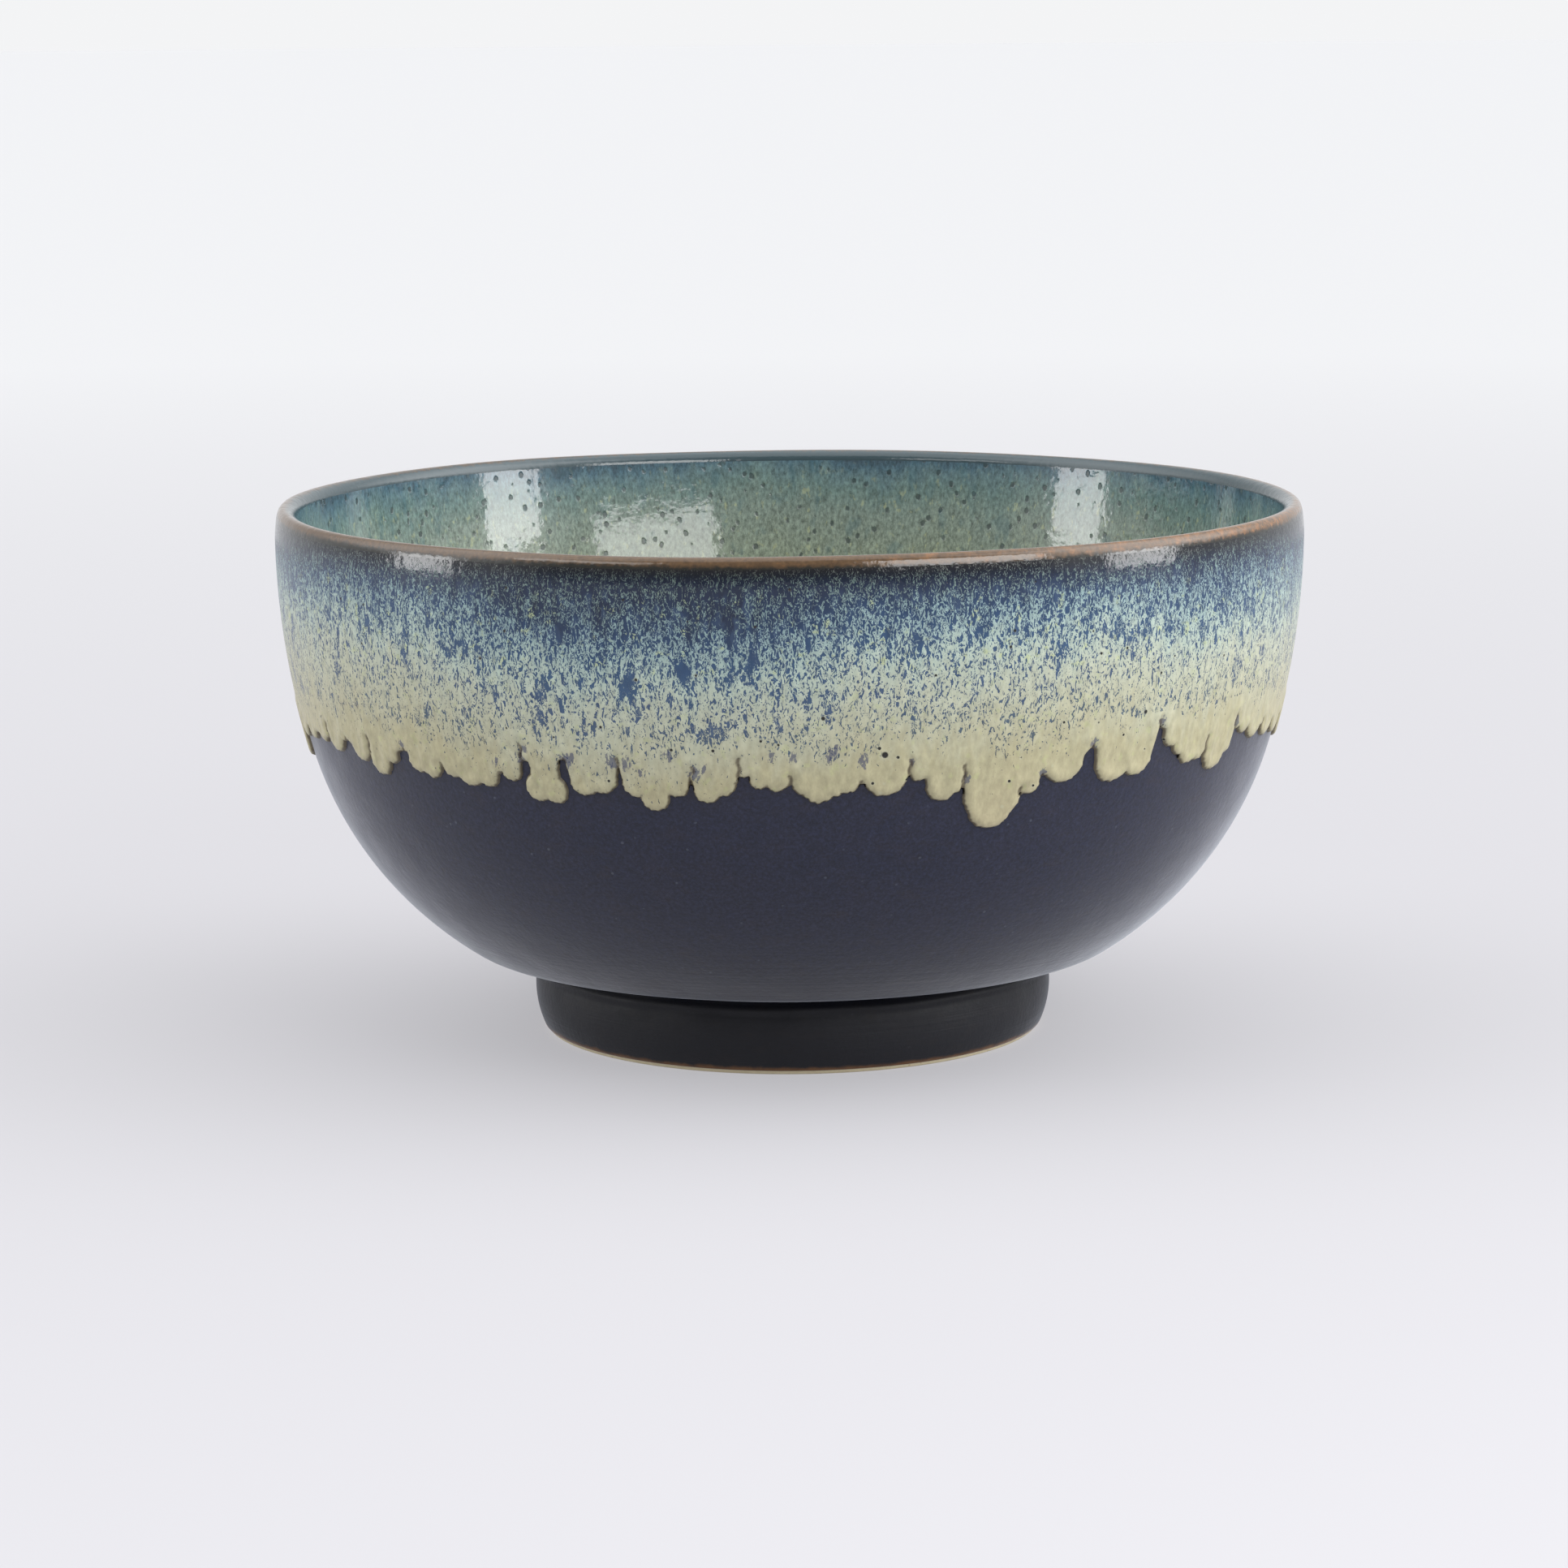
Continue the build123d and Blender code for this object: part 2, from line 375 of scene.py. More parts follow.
def wall_radius(height):
    """Radius of the dark coat's surface at a height, and its outward direction (out, up)."""
    profile = np.array(outside(step=0.2))[::-1]
    radius = np.interp(height, profile[:, 1], profile[:, 0])
    slope = (np.interp(height + 0.1, profile[:, 1], profile[:, 0])
             - np.interp(height - 0.1, profile[:, 1], profile[:, 0])) / 0.2
    length = np.hypot(1, slope)
    return radius, 1 / length, -slope / length


def coat_point(angle, height, thickness):
    """Points in metres, this thickness outside the dark coat's surface."""
    radius, out, up = wall_radius(height)
    return place(angle, radius + thickness * out, height + thickness * up)


def coat_thickness(height, depth):
    """Rolled bead at the edge, an even coat behind it and a taper at the lip."""
    roll = drip_coat * np.sqrt(1 - (1 - np.clip(depth / edge_roll, 0, 1)) ** 2)
    bead = bead_height * np.exp(-((depth - bead_middle) / 0.6) ** 2) * np.clip(depth / 0.3, 0, 1)
    return roll + bead - lip_bevel * np.maximum(height - lip_bevel_start, 0.0) ** 2


def edge_grid():
    """Grid over the fine zone as angle, height and depth, with near points moved to the edge."""
    heights = np.linspace(edge_zone[0], edge_zone[1], edge_rows + 1)
    angle, height = np.meshgrid(edge_angles, heights, indexing="ij")
    depth = edge_distance(angle, height)
    cell = 2 * pi * edge_ring_radius / edge_columns
    d_across = (np.roll(depth, -1, 0) - np.roll(depth, 1, 0)) / (2 * cell)
    d_up = np.gradient(depth, edge_row, axis=1)
    steep = np.maximum(d_across ** 2 + d_up ** 2, 0.25)
    near = np.abs(depth) < snap_distance
    angle = angle - np.where(near, depth * d_across / steep, 0) / edge_ring_radius
    height = height - np.where(near, depth * d_up / steep, 0)
    return angle, height, np.where(near, 0.0, depth)


def clip(grid, angle, height, depth):
    """Cells of the grid cut to the coat, as index tuples, and the points made on the edge."""
    made = {}
    cuts = []

    def cut(a, b):
        """Index of the point where the edge crosses between grid points a and b."""
        a, b = min(a, b), max(a, b)
        if (a, b) not in made:
            t = depth[a] / (depth[a] - depth[b])
            turn = (angle[b] - angle[a] + pi) % (2 * pi) - pi
            made[a, b] = len(angle) + len(cuts)
            cuts.append((angle[a] + t * turn, height[a] + t * (height[b] - height[a])))
        return made[a, b]

    polygons = []
    kept = depth >= 0
    for i in range(edge_columns):
        n = (i + 1) % edge_columns
        for j in range(edge_rows):
            corners = (grid[i, j], grid[n, j], grid[n, j + 1], grid[i, j + 1])
            shape = []
            for a, b in zip(corners, corners[1:] + corners[:1]):
                if kept[a]:
                    shape.append(a)
                if kept[a] != kept[b] and depth[a] != 0 and depth[b] != 0:
                    shape.append(cut(a, b))
            if len(shape) >= 3:
                polygons.append(tuple(shape))
    return polygons, cuts


def band(low, high):
    """Faces between two rings that have as many points."""
    return [(low[k], low[n], high[n], high[k])
            for k, n in enumerate(np.roll(range(len(low)), -1))]


def seam_band(fine, coarse):
    """Triangles between a ring and one above it that has a quarter of its points."""
    faces = []
    for k in range(wall_columns):
        left, right = coarse[k], coarse[(k + 1) % wall_columns]
        a, b, c, d, e = (fine[(4 * k + m) % edge_columns] for m in range(5))
        faces += [(a, b, left), (b, c, left), (c, right, left), (c, d, right), (d, e, right)]
    return faces


def drip_mesh():
    """Closed mesh of the drip coat, with how deep in the coat and in a smear each point is."""
    angle, height, depth = edge_grid()
    grid = np.arange(angle.size).reshape(angle.shape)
    angle, height, depth = angle.ravel(), height.ravel(), depth.ravel()
    polygons, cuts = clip(grid, angle, height, depth)
    angle = np.concatenate([angle, [a for a, _ in cuts]])
    height = np.concatenate([height, [z for _, z in cuts]])
    depth = np.concatenate([depth, np.zeros(len(cuts))])

    used = np.unique(np.concatenate([np.array(p) for p in polygons]))
    above = np.full(len(angle), -1)
    above[used] = np.arange(len(used))
    a, z, d = angle[used], height[used], depth[used]
    on_edge = d <= 0
    inner = np.flatnonzero(~on_edge)
    under = above.copy()
    under[used[inner]] = len(used) + np.arange(len(inner))
    smear = smear_amount(a, z)
    points = [coat_point(a, z, np.where(on_edge, -edge_sink, coat_thickness(z, d))),
              coat_point(a[inner], z[inner], np.full(len(inner), -coat_sink))]
    depths = [d, d[inner]]
    smears_at = [smear, smear[inner]]
    faces = [tuple(above[list(p)]) for p in polygons]
    for p in polygons:
        if len(set(under[list(p)]) - set(above[list(p)])) > 0:
            faces.append(tuple(under[list(p)][::-1]))

    # Coarser rings from the fine zone up to the lip, first outside and then underneath.
    levels = np.concatenate([
        np.arange(edge_zone[1] + seam_gap, wall_top - lip_zone, wall_row),
        np.arange(wall_top - lip_zone, wall_top + 0.01, lip_row),
    ])
    levels[-1] = wall_top
    total = len(used) + len(inner)
    lip_rings = []
    for outer, numbers in ((True, above), (False, under)):
        low = [int(v) for v in numbers[grid[:, edge_rows]]]
        for level in levels:
            z = np.full(wall_columns, level)
            deep = np.full(wall_columns, far_inside)
            thickness = coat_thickness(z, deep) if outer else np.full(wall_columns, -coat_sink)
            points.append(coat_point(edge_angles[::4], z, thickness))
            depths.append(deep)
            smears_at.append(np.zeros(wall_columns))
            ring = list(range(total, total + wall_columns))
            total += wall_columns
            new = band(low, ring) if len(low) == wall_columns else seam_band(low, ring)
            faces += new if outer else [f[::-1] for f in new]
            low = ring
        lip_rings.append(low)
    faces += band(*lip_rings)
    values = {"edge_mm": np.concatenate(depths), "smear": np.concatenate(smears_at)}
    return np.concatenate(points), faces, values


# ---- other pieces -------------------------------------------------------------------------
crease_height = 8.95
well_narrowing = 0.7  # the well is this much narrower on top


def crease_relief(angle, radius, height):
    """Uneven turned groove where the wall meets the foot, between ridges, and one below it."""
    centre = crease_height + 0.10 * np.sin(angle * 2 + 1) + 0.05 * np.sin(angle * 11)
    deep = 0.22 + 0.04 * np.sin(angle * 3 + 0.5) + 0.03 * np.sin(angle * 17 + 2)
    near = (radius < foot_top_radius + 3.0) & (height > 5.0)
    groove = deep * np.exp(-((height - centre) / 0.30) ** 2)
    groove += 0.10 * np.exp(-((height - centre + 1.75 + 0.1 * np.sin(angle * 5)) / 0.16) ** 2)
    above = 0.14 * np.exp(-((height - centre - 0.80) / 0.30) ** 2)
    below = 0.26 * np.exp(-((height - centre + 0.95) / 0.34) ** 2)
    return radius - np.where(near, groove - above - below, 0), height


def dark_coat_outline():
    """The dark coat from the lip to its end on the foot, and back up against the clay."""
    skin = outside(step=0.55)
    foot = foot_side(skin[-1])
    under = outside(-base_coat, step=2.0)
    under_foot = foot_side(under[-1], -base_coat)[::4]
    end = [(foot_glaze_end_radius - 0.08, dark_end - 0.05),
           (foot_glaze_end_radius - base_coat, dark_end)]
    return skin + foot[1:] + end + (under + under_foot)[::-1]


def rim_outline():
    """Lip over the clay: bevelled outside, small crest, rounded inside."""
    bevel_rise = wall_top - lip_bevel_start
    outer = (rim_radius - lip_bevel * bevel_rise ** 2, wall_top)
    top = (crest_radius, rim_height)
    inner = (liner_radius, wall_top)
    rise = rim_height - wall_top
    lean = 2 * lip_bevel * bevel_rise
    outer_curve = bezier(outer, (outer[0] - lean * rise * 0.6, wall_top + rise * 0.6),
                         (crest_radius + 0.62, rim_height), top, 16)
    inner_curve = bezier(top, (crest_radius - 0.6, rim_height),
                         (inner[0] + 0.07, wall_top + rise * 0.62), inner, 14)
    clay = clay_lip(dark_radius - base_coat, liner_radius + liner_coat, 13)
    return outer_curve + inner_curve[1:] + clay


def clay_lip(outer, inner, count, squash=1.0):
    """Half-round top of the clay wall, from its inside to its outside."""
    middle, half = (outer + inner) / 2, (outer - inner) / 2
    return [(middle + half * sin(a), wall_top + half * cos(a) * squash)
            for a in np.linspace(-pi / 2, pi / 2, count)]


def liner_outline():
    """The liner down the inside to the middle of the floor, and back up against the clay."""
    under = inside(liner_coat, step=2.5)
    return inside(step=0.6) + under[::-1]


def clay_outline():
    """Outside of the clay in three runs: the wall, the side of the foot, its bare bottom."""
    skin = outside(-base_coat, step=1.2)
    foot = foot_side(skin[-1], -base_coat)[::2]
    low = [(foot_contact[0] + 0.25, 0.12), (foot_contact[0] - 0.1, 0.0),
           (foot_contact[1] + 0.15, 0.0), (foot_contact[1] - 0.1, 0.1),
           (well_radius + 0.05, 0.5)]
    return skin, foot, low


def body_outline():
    """Clay of the wall and floor, down to the ceiling of the well in the foot."""
    skin, foot, _ = clay_outline()
    joint = [(foot_glaze_end_radius - 0.1, well_ceiling), (0.0, well_ceiling)]
    foot_above = [p for p in foot if p[1] > well_ceiling]
    cavity = inside(liner_coat, step=1.2)
    lip = clay_lip(skin[0][0], cavity[0][0], 9, squash=0.98)[1:-1]
    return cavity[::-1] + lip + skin + foot_above + joint


def foot_outline():
    """Clay of the foot ring, below the ceiling of the well."""
    _, foot, low = clay_outline()
    below = [p for p in foot if p[1] <= well_ceiling]
    chamfer = [(foot_glaze_end_radius - 0.12, dark_end), (foot_glaze_end_radius - 0.35, 0.3)]
    wall = [(well_radius - 0.2, 1.2), (well_radius - 0.6, well_ceiling - 0.4),
            (well_radius - well_narrowing, well_ceiling)]
    return [(foot_glaze_end_radius - 0.5, well_ceiling)] + below[:-1] + chamfer + low + wall


def well_outline():
    """Glaze on the ceiling of the well and down its side."""
    top = well_radius - well_narrowing
    low = well_radius - 0.15
    return [(0.0, well_ceiling), (top, well_ceiling), (low, well_coat_end),
            (low - 0.12, well_coat_end - 0.03), (low - well_coat, well_coat_end + 0.15),
            (top - well_coat, well_ceiling - 1.1), (top - well_coat - 0.25, well_ceiling - 0.5),
            (top - 1.3, well_ceiling - well_coat), (0.0, well_ceiling - well_coat)]


# ---- shader nodes -------------------------------------------------------------------------
def colour(red, green, blue):
    """Linear colour with alpha, from screen values 0 to 255."""
    values = [v / 255 for v in (red, green, blue)]
    return tuple(v / 12.92 if v <= 0.04045 else ((v + 0.055) / 1.055) ** 2.4
                 for v in values) + (1.0,)


class Nodes:
    """Short names for the nodes of one node tree."""

    def __init__(self, tree):
        self.tree = tree

    def add(self, kind, *values, **settings):
        node = self.tree.nodes.new(kind)
        for key, value in settings.items():
            setattr(node, key, value)
        for socket, value in zip(node.inputs, values):
            self.join(socket, value)
        return node

    def join(self, socket, value):
        """Links a socket to an output or gives it a value; None leaves it as it is."""
        if isinstance(value, bpy.types.NodeSocket):
            self.tree.links.new(value, socket)
        elif value is not None:
            socket.default_value = value

    def fill(self, node, settings):
        """Joins outputs or values to the node's sockets by name."""
        for key, value in settings.items():
            self.join(node.inputs[key], value)
        return node

    def math(self, operation, *values):
        return self.add("ShaderNodeMath", *values, operation=operation).outputs[0]

    def times(self, first, *others):
        for other in others:
            first = self.math("MULTIPLY", first, other)
        return first

    def push(self, base, noise, reach):
        """Base moved up and down by reach times a noise that is centred on 0.5."""
        return self.math("MULTIPLY_ADD", self.math("SUBTRACT", noise, 0.5), reach, base)

    def vector(self, operation, *values):
        return self.add("ShaderNodeVectorMath", *values, operation=operation).outputs["Vector"]

    def scaled(self, vector, factor):
        node = self.add("ShaderNodeVectorMath", vector, operation="SCALE")
        return self.fill(node, {"Scale": factor}).outputs["Vector"]

    def fade(self, value, low, high):
        """Straight rise from 0 to 1 as value goes from low to high."""
        return self.add("ShaderNodeMapRange", value, low, high).outputs[0]

    def step(self, value, low, high, to_low=0.0, to_high=1.0):
        """Smooth rise from to_low to to_high as value goes from low to high."""
        return self.add("ShaderNodeMapRange", value, low, high, to_low, to_high,
                        interpolation_type="SMOOTHSTEP").outputs[0]

    def ramp(self, value, low, high, stops):
        """Colours or grey levels along value; stops are (value, colour or level)."""
        span = high - low
        share = self.math("MULTIPLY_ADD", value, 1 / span, -low / span)
        node = self.add("ShaderNodeValToRGB", share)
        band = node.color_ramp
        while len(band.elements) < len(stops):
            band.elements.new(0.5)
        for element, (at, tint) in zip(band.elements, sorted(stops)):
            element.position = (at - low) / span
            element.color = tint if isinstance(tint, tuple) else (tint, tint, tint, 1)
        return node.outputs[0]

    def mix(self, amount, first, second, blend="MIX"):
        node = self.add("ShaderNodeMix", data_type="RGBA", blend_type=blend)
        return self.fill(node, {"Factor": amount, 6: first, 7: second}).outputs[2]


class Glaze(Nodes):
    """Material whose patterns lie in the object's space, with lengths in millimetres."""

    def __init__(self, name, roughness, ior):
        self.material = bpy.data.materials.new(name)
        self.material.use_nodes = True
        super().__init__(self.material.node_tree)
        self.shader = self.tree.nodes["Principled BSDF"]
        self.fill(self.shader, {"Roughness": roughness, "IOR": ior})
        self.point = self.scaled(self.add("ShaderNodeTexCoord").outputs["Object"], MM)
        self.x, self.y, self.z = self.add("ShaderNodeSeparateXYZ", self.point).outputs

    def turn(self):
        """Angle about the axis in radians, zero at the front."""
        return self.math("ARCTAN2", self.x, self.math("MULTIPLY", self.y, -1.0))

    def radius(self):
        square = self.math("ADD", self.times(self.x, self.x), self.times(self.y, self.y))
        return self.math("POWER", square, 0.5)

    def attribute(self, name):
        return self.add("ShaderNodeAttribute", attribute_name=name).outputs["Fac"]

    def stretch(self, across, up, shift=0.0):
        """The point with the level directions and the height scaled apart."""
        return self.vector("MULTIPLY_ADD", self.point, (across, across, up), (shift,) * 3)

    def noise(self, where, scale, detail=3.0, roughness=0.5, distortion=0.0):
        settings = {"Vector": where, "Scale": scale, "Detail": detail, "Roughness": roughness,
                    "Distortion": distortion}
        return self.fill(self.add("ShaderNodeTexNoise"), settings).outputs[0]

    def cells(self, where, spacing):
        """Distance to the nearest of scattered points, as a share of their spacing."""
        settings = {"Vector": where, "Scale": 1 / spacing}
        return self.fill(self.add("ShaderNodeTexVoronoi"), settings).outputs["Distance"]

    def mottled(self, tint, noise, dark, light, amount=1.0):
        """Tint multiplied by dark where the noise is low and by light where it is high."""
        shade = self.ramp(noise, 0.0, 1.0, [(0.3, dark), (0.5, 1.0), (0.7, light)])
        return self.mix(amount, tint, shade, "MULTIPLY")

    def bump(self, height, distance, normal=None):
        """Bump of a height from 0 to 1 that stands for this distance."""
        settings = {"Strength": 1.0, "Distance": distance / MM, "Height": height, "Normal": normal}
        return self.fill(self.add("ShaderNodeBump"), settings).outputs[0]

    def output(self, tint, rough, normal):
        self.fill(self.shader, {"Base Color": tint, "Roughness": rough, "Normal": normal})
        return self.material


# ---- drip glaze ---------------------------------------------------------------------------
# Height on the wall against the tint of the dark and of the light phase of the glaze.
drip_dark_tints = [
    (34.0, colour(92, 86, 70)), (42.0, colour(80, 84, 82)), (46.0, colour(68, 84, 96)),
    (50.3, colour(58, 76, 102)), (54.4, colour(47, 73, 102)), (57.1, colour(36, 63, 94)),
    (59.8, colour(26, 50, 80)), (62.2, colour(15, 30, 54)), (63.7, colour(8, 15, 26)),
    (65.0, colour(24, 19, 13)),
]
drip_light_tints = [
    (34.0, colour(160, 152, 122)), (41.9, colour(158, 153, 123)), (44.7, colour(161, 159, 134)),
    (50.3, colour(163, 168, 150)), (54.4, colour(156, 170, 159)), (57.1, colour(140, 160, 156)),
    (59.8, colour(124, 148, 149)), (62.2, colour(104, 126, 120)), (63.7, colour(64, 76, 70)),
    (65.0, colour(50, 38, 25)),
]
extra_blue = colour(48, 68, 96)
olive = colour(164, 172, 116)
smear_blue = colour(46, 54, 86)
edge_brown = colour(62, 50, 34)
pinhole_rim = colour(170, 172, 150)
# pinhole_black is the dark coat showing in the pits, with painted shade in them.
pinhole_black = colour(18, 18, 16)
# Height against how far from the middle of a thread the light phase reaches.
drip_light_reach = [
    (36.0, 0.24), (41.0, 0.175), (44.0, 0.142), (47.5, 0.128), (50.3, 0.120), (53.0, 0.108),
    (55.8, 0.086), (58.5, 0.068), (61.2, 0.045), (64.0, 0.028),
]
thread_softness = 0.020
fine_thread_weight = 0.42
pool_loss = 0.06  # how much narrower the light phase is in dark pools
# Angle from the front (radians) against how many millimetres lower the blue reaches there.
drip_blue_shift = [
    (-3.1, 0.0), (-1.3, -1.0), (-0.78, -1.6), (-0.50, 2.9), (-0.12, 3.0), (0.12, 0.2),
    (0.45, -0.6), (1.0, -0.4), (1.8, 0.6), (3.1, 0.0),
]
largest_shift = 4.0
# Largest pinholes, as angle from the front, height and radius.
pinholes = [(9.8, 43.2, 0.42), (3.3, 47.6, 0.26), (9.2, 44.0, 0.22), (11.2, 42.9, 0.22),
            (-12.5, 43.9, 0.22), (-8.1, 43.9, 0.22), (41.0, 45.7, 0.28), (-31.2, 45.4, 0.2)]
pinhole_spacing = 3.1
pinhole_radius = 0.19
pinhole_offset = (3.1, 1.7, 0.4)
lip_fade = (61.0, 63.2)  # relief and roughness fall off here


def drip_level(g, patches):
    """Height that sets the tint, moved up and down by runs, patches and the side of the bowl."""
    slow = g.noise(g.stretch(1.0, 0.3), 0.10, 2.0)
    runs = g.noise(g.stretch(1.0, 0.10, 9.0), 0.75, 3.0, 0.6)
    span = 2 * largest_shift
    stops = [(angle, shift / span + 0.5) for angle, shift in drip_blue_shift]
    shift = g.math("MULTIPLY_ADD", g.ramp(g.turn(), -pi, pi, stops), span, -largest_shift)
    drift = g.push(shift, slow, 5.0)
    drift = g.push(drift, runs, 5.0)
    drift = g.push(drift, patches, 6.0)
    return g.math("MULTIPLY_ADD", drift, g.step(g.z, 63.6, 57.0, 0.04, 1.0), g.z)


def drip_threads(g, level, patches, edge):
    """Where the light phase lies: threads below the lip, broader lower down, plain at the edge."""
    worms = g.noise(g.stretch(1.0, 0.44), 1.9, 3.0, 0.64, 0.8)
    threads = g.noise(g.stretch(1.0, 0.62, 17.0), 3.5, 2.0, 0.6, 0.5)
    worms = g.math("ABSOLUTE", g.math("SUBTRACT", worms, 0.5))
    threads = g.math("ABSOLUTE", g.math("SUBTRACT", threads, 0.5))
    value = g.math("MULTIPLY_ADD", threads, fine_thread_weight, worms)
    turn = g.turn()
    plain = g.times(g.step(edge, 3.6, 1.0), g.step(turn, -0.25, 0.15, 0.045, 0.12))
    reach = g.math("ADD", g.ramp(level, 34.0, 66.0, drip_light_reach), plain)
    pools = g.times(g.step(patches, 0.55, 0.66), g.step(g.z, 42.5, 46.0),
                    g.step(turn, -0.2, 0.15, 1.4, 0.8), g.step(g.z, 60.0, 55.5, 0.2, 1.0))
    reach = g.math("MULTIPLY_ADD", pools, -pool_loss, reach)
    return g.step(g.math("SUBTRACT", value, reach), thread_softness, -thread_softness)


def drip_tint(g, level, light):
    """Both phases, with bluer and olive patches and a cloudy change of depth."""
    dark = g.ramp(level, 33.0, 66.0, drip_dark_tints)
    pale = g.ramp(level, 33.0, 66.0, drip_light_tints)
    blue = g.step(g.noise(g.stretch(1.0, 0.5, 21.0), 0.8, 2.0), 0.50, 0.66)
    dark = g.mix(g.times(blue, g.step(g.z, 63.0, 60.0, 0.0, 0.55)), dark, extra_blue)
    olive_at = g.times(g.step(g.noise(g.point, 0.85, 2.0), 0.60, 0.70),
                       g.step(g.z, 62.5, 60.0), g.step(g.z, 50.0, 55.0, 0.25, 0.6))
    pale = g.mix(olive_at, pale, olive)
    cloud = g.noise(g.stretch(1.0, 0.5, 33.0), 1.5, 3.0, 0.6)
    return g.mottled(g.mix(light, dark, pale), cloud, 0.72, 1.3, 0.5)


def smeared(g, tint):
    """Tint with ragged blue smears where the mesh has them."""
    smear = g.attribute("smear")
    ragged = g.push(smear, g.noise(g.stretch(1.0, 0.45, 5.0), 2.8, 3.0, 0.6), 3.4)
    amount = g.times(g.step(ragged, 0.18, 0.5), g.step(smear, 0.0, 0.1), 0.72)
    return g.mix(amount, tint, smear_blue)


def pinhole_distance(g):
    """Distance to the nearest pinhole, in radii of that pinhole."""
    scattered = g.cells(g.vector("ADD", g.point, pinhole_offset), pinhole_spacing)
    nearest = g.math("MULTIPLY", scattered, pinhole_spacing / pinhole_radius)
    for angle, height, radius in pinholes:
        across = radians(angle)
        out = float(wall_radius(np.array(height))[0]) + drip_coat
        centre = (out * sin(across), -out * cos(across), height)
        away = g.add("ShaderNodeVectorMath", g.point, centre, operation="DISTANCE")
        nearest = g.math("MINIMUM", nearest, g.times(away.outputs["Value"], 1 / radius))
    return nearest


def drip_glaze():
    """Cream glaze breaking to blue and navy towards the lip, with smears and pinholes."""
    g = Glaze("drip_glaze", roughness=0.3, ior=1.48)
    edge = g.attribute("edge_mm")
    patches = g.noise(g.stretch(1.0, 0.38, 4.0), 0.55, 3.0, 0.6)
    level = drip_level(g, patches)
    light = drip_threads(g, level, patches, edge)
    tint = smeared(g, drip_tint(g, level, light))
    tint = g.mix(g.times(g.step(edge, 0.34, 0.10), 0.85), tint, edge_brown)
    pit = pinhole_distance(g)
    rim = g.times(g.step(pit, 1.9, 1.1), g.step(g.z, 58.0, 52.0, 0.0, 0.3))
    # Pinholes: the dark coat under them plus painted shade in the pits.
    hole = g.step(pit, 1.0, 0.6)
    tint = g.mix(hole, g.mix(rim, tint, pinhole_rim), pinhole_black)
    fine = g.noise(g.stretch(1.0, 0.6), 3.2, 3.0)
    at_lip = g.step(g.z, *lip_fade, 1.0, 0.35)
    normal = g.bump(g.noise(g.point, 0.9, 2.0), 0.05)
    normal = g.bump(g.times(light, at_lip), 0.018, normal)
    normal = g.bump(g.times(fine, at_lip), 0.02, normal)
    normal = g.bump(hole, -0.25, normal)
    rough = g.times(g.step(light, 0.0, 1.0, 0.26, 0.36), g.step(g.z, *lip_fade, 1.0, 0.32))
    return g.output(tint, rough, normal)


# ---- other glazes and clay ----------------------------------------------------------------
# Angle from the front (radians) against how far the lip has turned amber there.
rim_amber = [
    (-3.1, 0.10), (-1.6, 0.12), (-0.9, 0.10), (-0.3, 0.08), (0.2, 0.30), (0.6, 0.38),
    (1.0, 0.46), (1.6, 0.32), (2.4, 0.16), (3.1, 0.10),
]


def rim_glaze():
    """Iron brown where the glaze has run thin over the lip, from dark to amber round the rim."""
    g = Glaze("iron_rim_glaze", roughness=0.25, ior=1.55)
    around = g.ramp(g.turn(), -pi, pi, rim_amber)
    worn = g.noise(g.stretch(1.0, 1.6), 0.9, 4.0, 0.6)
    thin = g.math("MULTIPLY_ADD", worn, 1.1, g.math("SUBTRACT", around, 0.55))
    brown = g.mix(g.noise(g.point, 2.2, 3.0), colour(50, 36, 23), colour(98, 74, 48))
    tint = g.mix(g.step(thin, 0.25, 0.9), brown, colour(142, 93, 47))
    radius = g.radius()
    low = g.math("MULTIPLY_ADD", g.noise(g.point, 1.3, 3.0), 0.9, g.z)
    outside_dark = g.times(g.step(low, wall_top + 1.15, wall_top + 0.55),
                           g.step(radius, crest_radius - 0.2, crest_radius + 0.6))
    inside_dark = g.times(g.step(low, wall_top + 2.0, wall_top + 1.5),
                          g.step(radius, crest_radius + 0.1, crest_radius - 0.5))
    tint = g.mix(outside_dark, tint, colour(26, 26, 22))
    tint = g.mix(inside_dark, tint, colour(44, 62, 68))
    normal = g.bump(g.noise(g.point, 0.8, 2.0), 0.05)
    normal = g.bump(g.noise(g.point, 2.5, 2.0), 0.008, normal)
    return g.output(tint, g.step(worn, 0.3, 0.7, 0.09, 0.20), normal)


